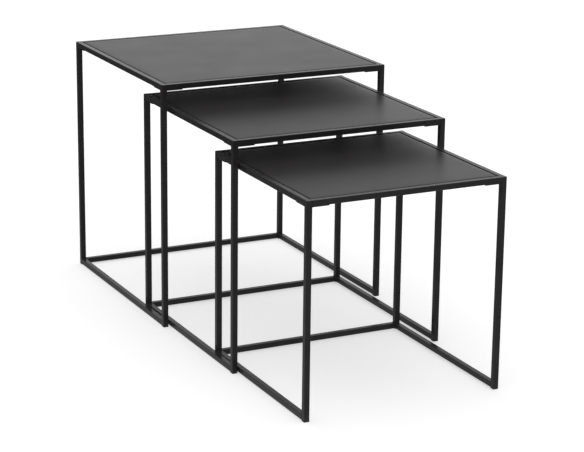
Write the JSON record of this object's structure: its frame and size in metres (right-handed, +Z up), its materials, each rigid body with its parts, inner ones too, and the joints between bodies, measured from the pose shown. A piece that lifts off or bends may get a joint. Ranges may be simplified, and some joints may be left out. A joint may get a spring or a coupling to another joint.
{
  "type": "nesting side tables",
  "caption": "Nesting side tables: slim square-tube frames with inset sheet-steel tops, each smaller table sliding out from under the next.",
  "frame": {"origin": "on the floor, under the middle of the box round the three tables as they stand, partly pulled out", "axes": "+Z up; -Y towards the open fronts, the way the smaller tables come out; +X to the right seen from the front"},
  "size_m": [0.55, 1.172, 0.555],
  "materials": {
    "frame_coat": "satin black powder coat on steel tube",
    "tabletop_coat": "satin black powder coat on sheet steel",
    "glide_plastic": "moulded black nylon",
    "black_screws": "blackened steel",
    "plated_nuts": "zinc plated steel"
  },
  "bodies": {
    "large_table": {"large_front_left_leg": "frame_coat", "large_front_left_foot_glide": "glide_plastic", "large_front_right_leg": "frame_coat", "large_front_right_foot_glide": "glide_plastic", "large_back_right_leg": "frame_coat", "large_back_right_foot_glide": "glide_plastic", "large_back_left_leg": "frame_coat", "large_back_left_foot_glide": "glide_plastic", "large_leg_end_plates": "frame_coat", "large_front_top_rail": "frame_coat", "large_back_top_rail": "frame_coat", "large_left_top_rail": "frame_coat", "large_right_top_rail": "frame_coat", "large_left_floor_runner": "frame_coat", "large_right_floor_runner": "frame_coat", "large_back_floor_rail": "frame_coat", "large_tabletop": "tabletop_coat", "large_corner_plates": "frame_coat", "large_tabletop_screws": "black_screws", "large_tabletop_weld_nuts": "plated_nuts"},
    "medium_table": {"medium_front_left_leg": "frame_coat", "medium_front_left_foot_glide": "glide_plastic", "medium_front_right_leg": "frame_coat", "medium_front_right_foot_glide": "glide_plastic", "medium_back_right_leg": "frame_coat", "medium_back_right_foot_glide": "glide_plastic", "medium_back_left_leg": "frame_coat", "medium_back_left_foot_glide": "glide_plastic", "medium_leg_end_plates": "frame_coat", "medium_front_top_rail": "frame_coat", "medium_back_top_rail": "frame_coat", "medium_left_top_rail": "frame_coat", "medium_right_top_rail": "frame_coat", "medium_left_floor_runner": "frame_coat", "medium_right_floor_runner": "frame_coat", "medium_back_floor_rail": "frame_coat", "medium_tabletop": "tabletop_coat", "medium_corner_plates": "frame_coat", "medium_tabletop_screws": "black_screws", "medium_tabletop_weld_nuts": "plated_nuts"},
    "small_table": {"small_front_left_leg": "frame_coat", "small_front_left_foot_glide": "glide_plastic", "small_front_right_leg": "frame_coat", "small_front_right_foot_glide": "glide_plastic", "small_back_right_leg": "frame_coat", "small_back_right_foot_glide": "glide_plastic", "small_back_left_leg": "frame_coat", "small_back_left_foot_glide": "glide_plastic", "small_leg_end_plates": "frame_coat", "small_front_top_rail": "frame_coat", "small_back_top_rail": "frame_coat", "small_left_top_rail": "frame_coat", "small_right_top_rail": "frame_coat", "small_left_floor_runner": "frame_coat", "small_right_floor_runner": "frame_coat", "small_back_floor_rail": "frame_coat", "small_tabletop": "tabletop_coat", "small_corner_plates": "frame_coat", "small_tabletop_screws": "black_screws", "small_tabletop_weld_nuts": "plated_nuts"}
  },
  "joints": [
    {"name": "medium_table_slide", "type": "slide", "parent": "large_table", "child": "medium_table", "axis": [0, -1, 0], "range_m": [-0.371, 0.196]},
    {"name": "small_table_slide", "type": "slide", "parent": "medium_table", "child": "small_table", "axis": [0, -1, 0], "range_m": [-0.345, 0.172]}
  ]
}
